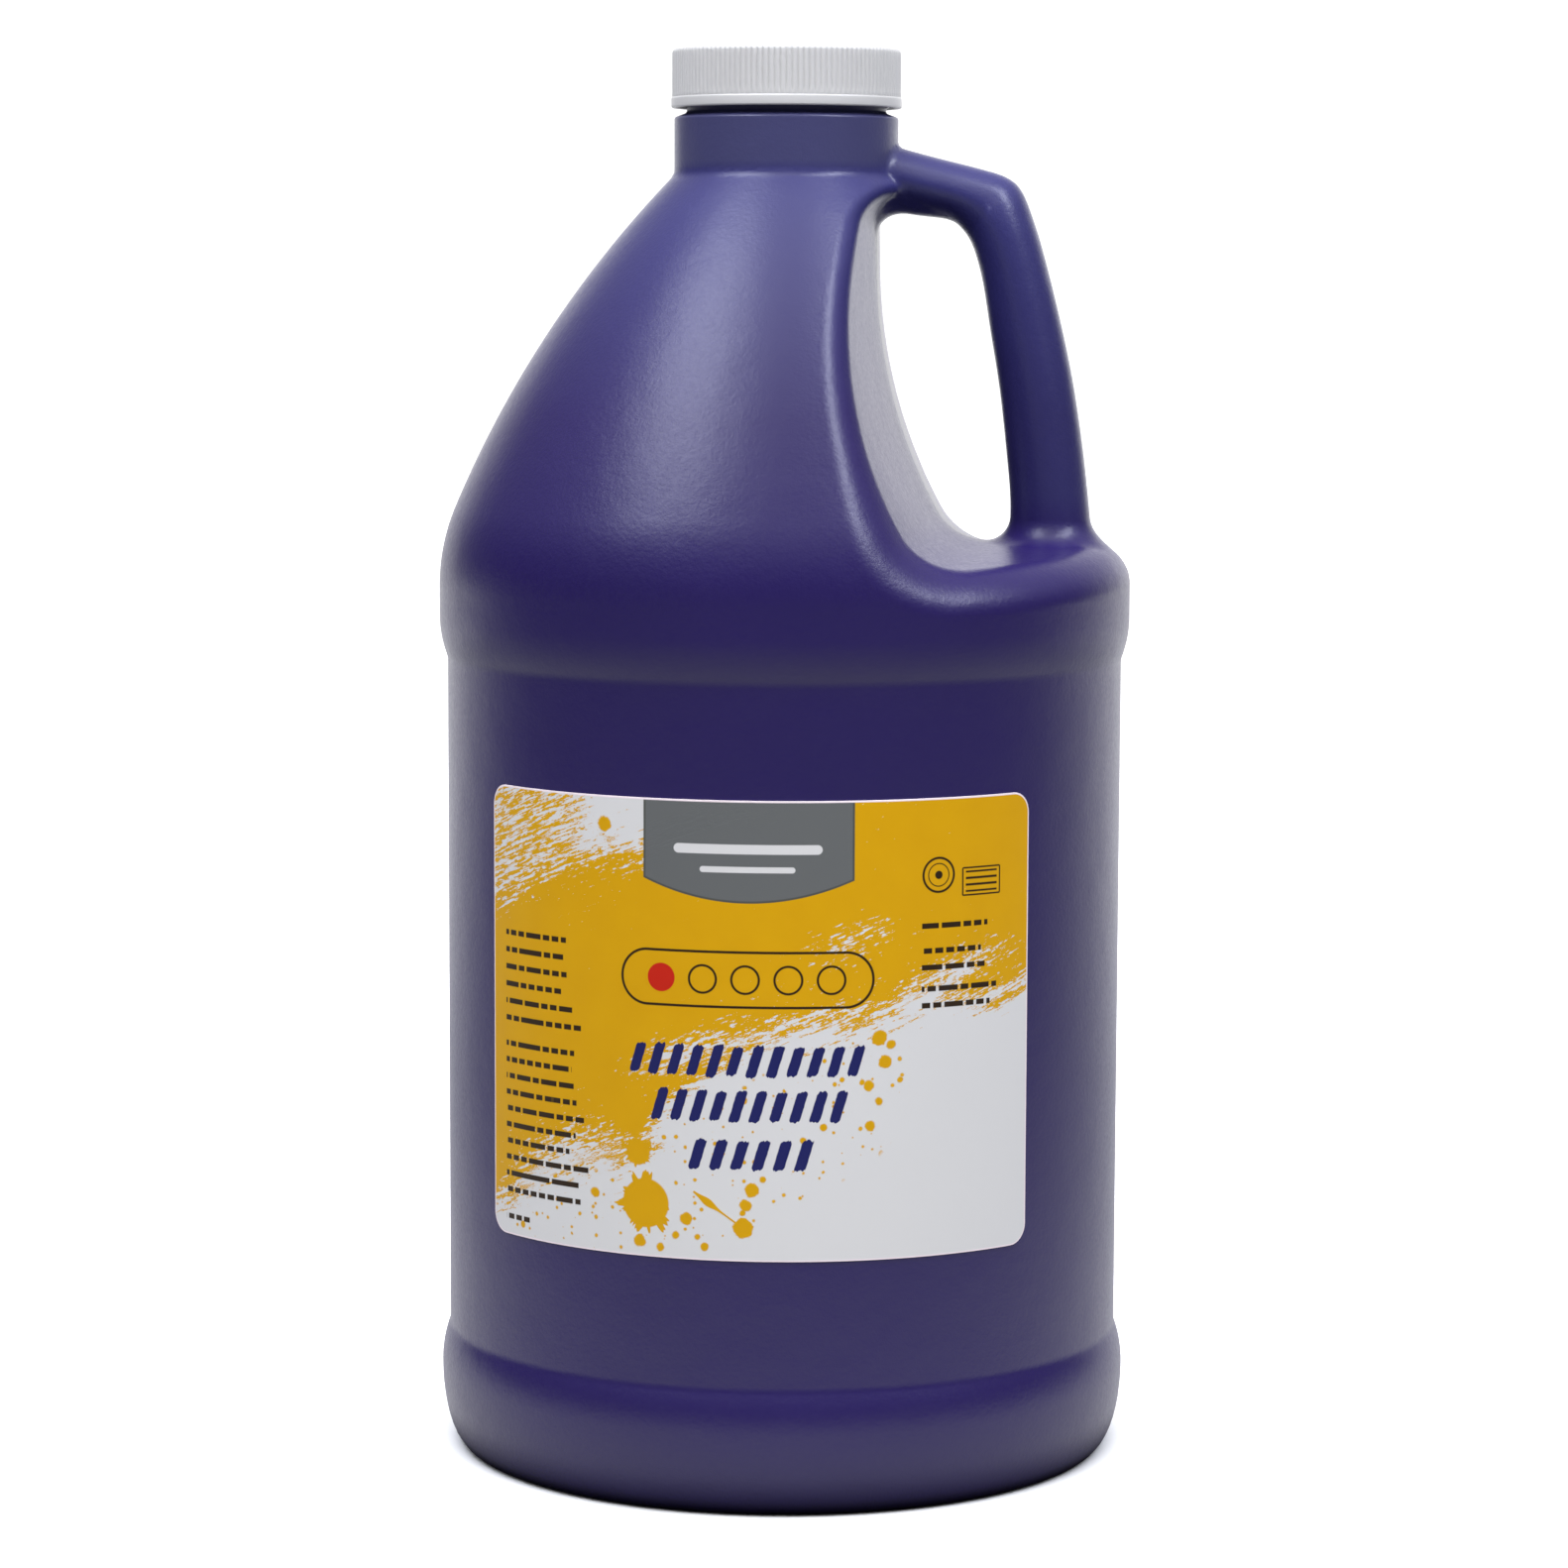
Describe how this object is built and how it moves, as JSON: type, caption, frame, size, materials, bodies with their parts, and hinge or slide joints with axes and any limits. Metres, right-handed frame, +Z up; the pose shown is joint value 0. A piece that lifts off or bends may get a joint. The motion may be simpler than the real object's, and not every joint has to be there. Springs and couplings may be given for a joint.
{
  "type": "paint jug",
  "caption": "Round moulded paint jug with a through handle, ribbed screw cap, foam cap liner, front label and its filling of paint.",
  "frame": {"origin": "centre of the foot ring, on the surface that the jug stands on", "axes": "+Z up along the neck and the cap, +X towards the handle, -Y towards the front label"},
  "size_m": [0.1218, 0.1218, 0.247],
  "materials": {
    "jug_plastic": "satin blow-moulded polyethylene over purple paint",
    "cap_plastic": "satin white moulded polypropylene",
    "liner_foam": "matte closed-cell foam",
    "label_film": "semi-gloss printed film, yellow brush strokes on white",
    "paint_fill": "wet purple tempera"
  },
  "bodies": {
    "bottle": {"bottle": "jug_plastic", "front_label": "label_film", "paint": "paint_fill"},
    "liner": {"cap_liner": "liner_foam"},
    "cap": {"cap": "cap_plastic"}
  },
  "joints": [
    {"name": "cap_lift", "type": "slide", "parent": "bottle", "child": "liner", "axis": [0, 0, 1], "range_m": [0, 0.017]},
    {"name": "cap_turn", "type": "hinge", "parent": "liner", "child": "cap", "pos_m": [0, 0, 0.2367], "axis": [0, 0, 1], "range_deg": [0, 1440]}
  ],
  "couplings": [
    {"joint": "cap_lift", "follows": "cap_turn", "m_per_rad": 0.0006737}
  ]
}
